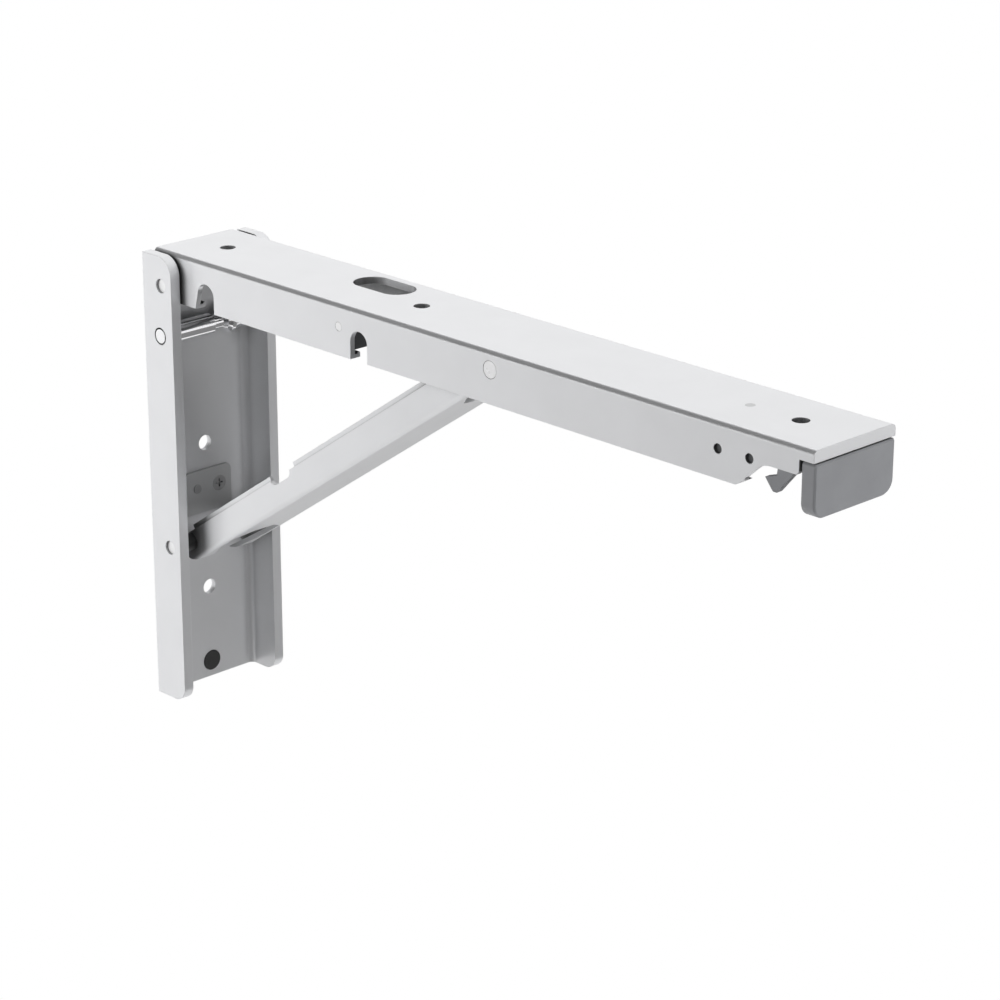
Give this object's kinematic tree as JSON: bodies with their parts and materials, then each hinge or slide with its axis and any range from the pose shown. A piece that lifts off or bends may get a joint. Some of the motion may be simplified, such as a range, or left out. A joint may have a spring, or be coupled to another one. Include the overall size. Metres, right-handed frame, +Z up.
{
  "type": "folding shelf bracket",
  "caption": "Wall-mounted shelf bracket whose arm and strut fold flat into the wall channel, with a pull release at the arm's end.",
  "frame": {"origin": "midway between the two wall holes, on the wall channel's back face", "axes": "+X points out from the wall along the open arm, +Z is up, +Y runs across the bracket"},
  "size_m": [0.4005, 0.062, 0.2218],
  "materials": {
    "channel_metal": "satin",
    "steel": "satin",
    "chrome": "polished",
    "grey_moulding": "matte",
    "black_plastic": "matte",
    "rubber": "matte"
  },
  "bodies": {
    "wall_unit": {"wall_channel": "channel_metal", "arm_pivot_pin": "steel", "strut_pivot_pin": "steel", "cross_shaft": "chrome", "stop_plate": "steel", "stop_plate_screw": "steel", "stop_plate_rivet": "steel", "buffer_plug": "rubber"},
    "arm": {"arm_channel": "channel_metal", "pivot_bush_near": "black_plastic", "pivot_bush_far": "black_plastic", "lock_pin": "steel", "spacer_rivet": "steel", "cross_block": "grey_moulding", "guide_pin_rear_near": "grey_moulding", "guide_pin_rear_far": "grey_moulding", "guide_pin_front_near": "grey_moulding", "guide_pin_front_far": "grey_moulding", "spring_anchor": "steel", "return_spring": "steel"},
    "strut": {"strut_channel": "channel_metal", "strut_bush_near": "black_plastic", "strut_bush_far": "black_plastic", "strut_end_pin": "steel"},
    "release": {"release_cap": "grey_moulding"}
  },
  "joints": [
    {"name": "arm_fold", "type": "hinge", "parent": "wall_unit", "child": "arm", "pos_m": [0.0129, 0, 0.123], "axis": [0, 1, 0], "range_deg": [0, 89.8]},
    {"name": "strut_fold", "type": "hinge", "parent": "wall_unit", "child": "strut", "pos_m": [0.0129, 0, -0.006], "axis": [0, 1, 0], "range_deg": [0, 123.44]},
    {"name": "release_slide", "type": "slide", "parent": "arm", "child": "release", "axis": [1, 0, 0], "range_m": [0, 0.008], "stiffness_N_per_m": 400, "springref_m": -0.005}
  ],
  "couplings": [
    {"joint": "strut_fold", "follows": "arm_fold", "ratio": 1.3741}
  ]
}
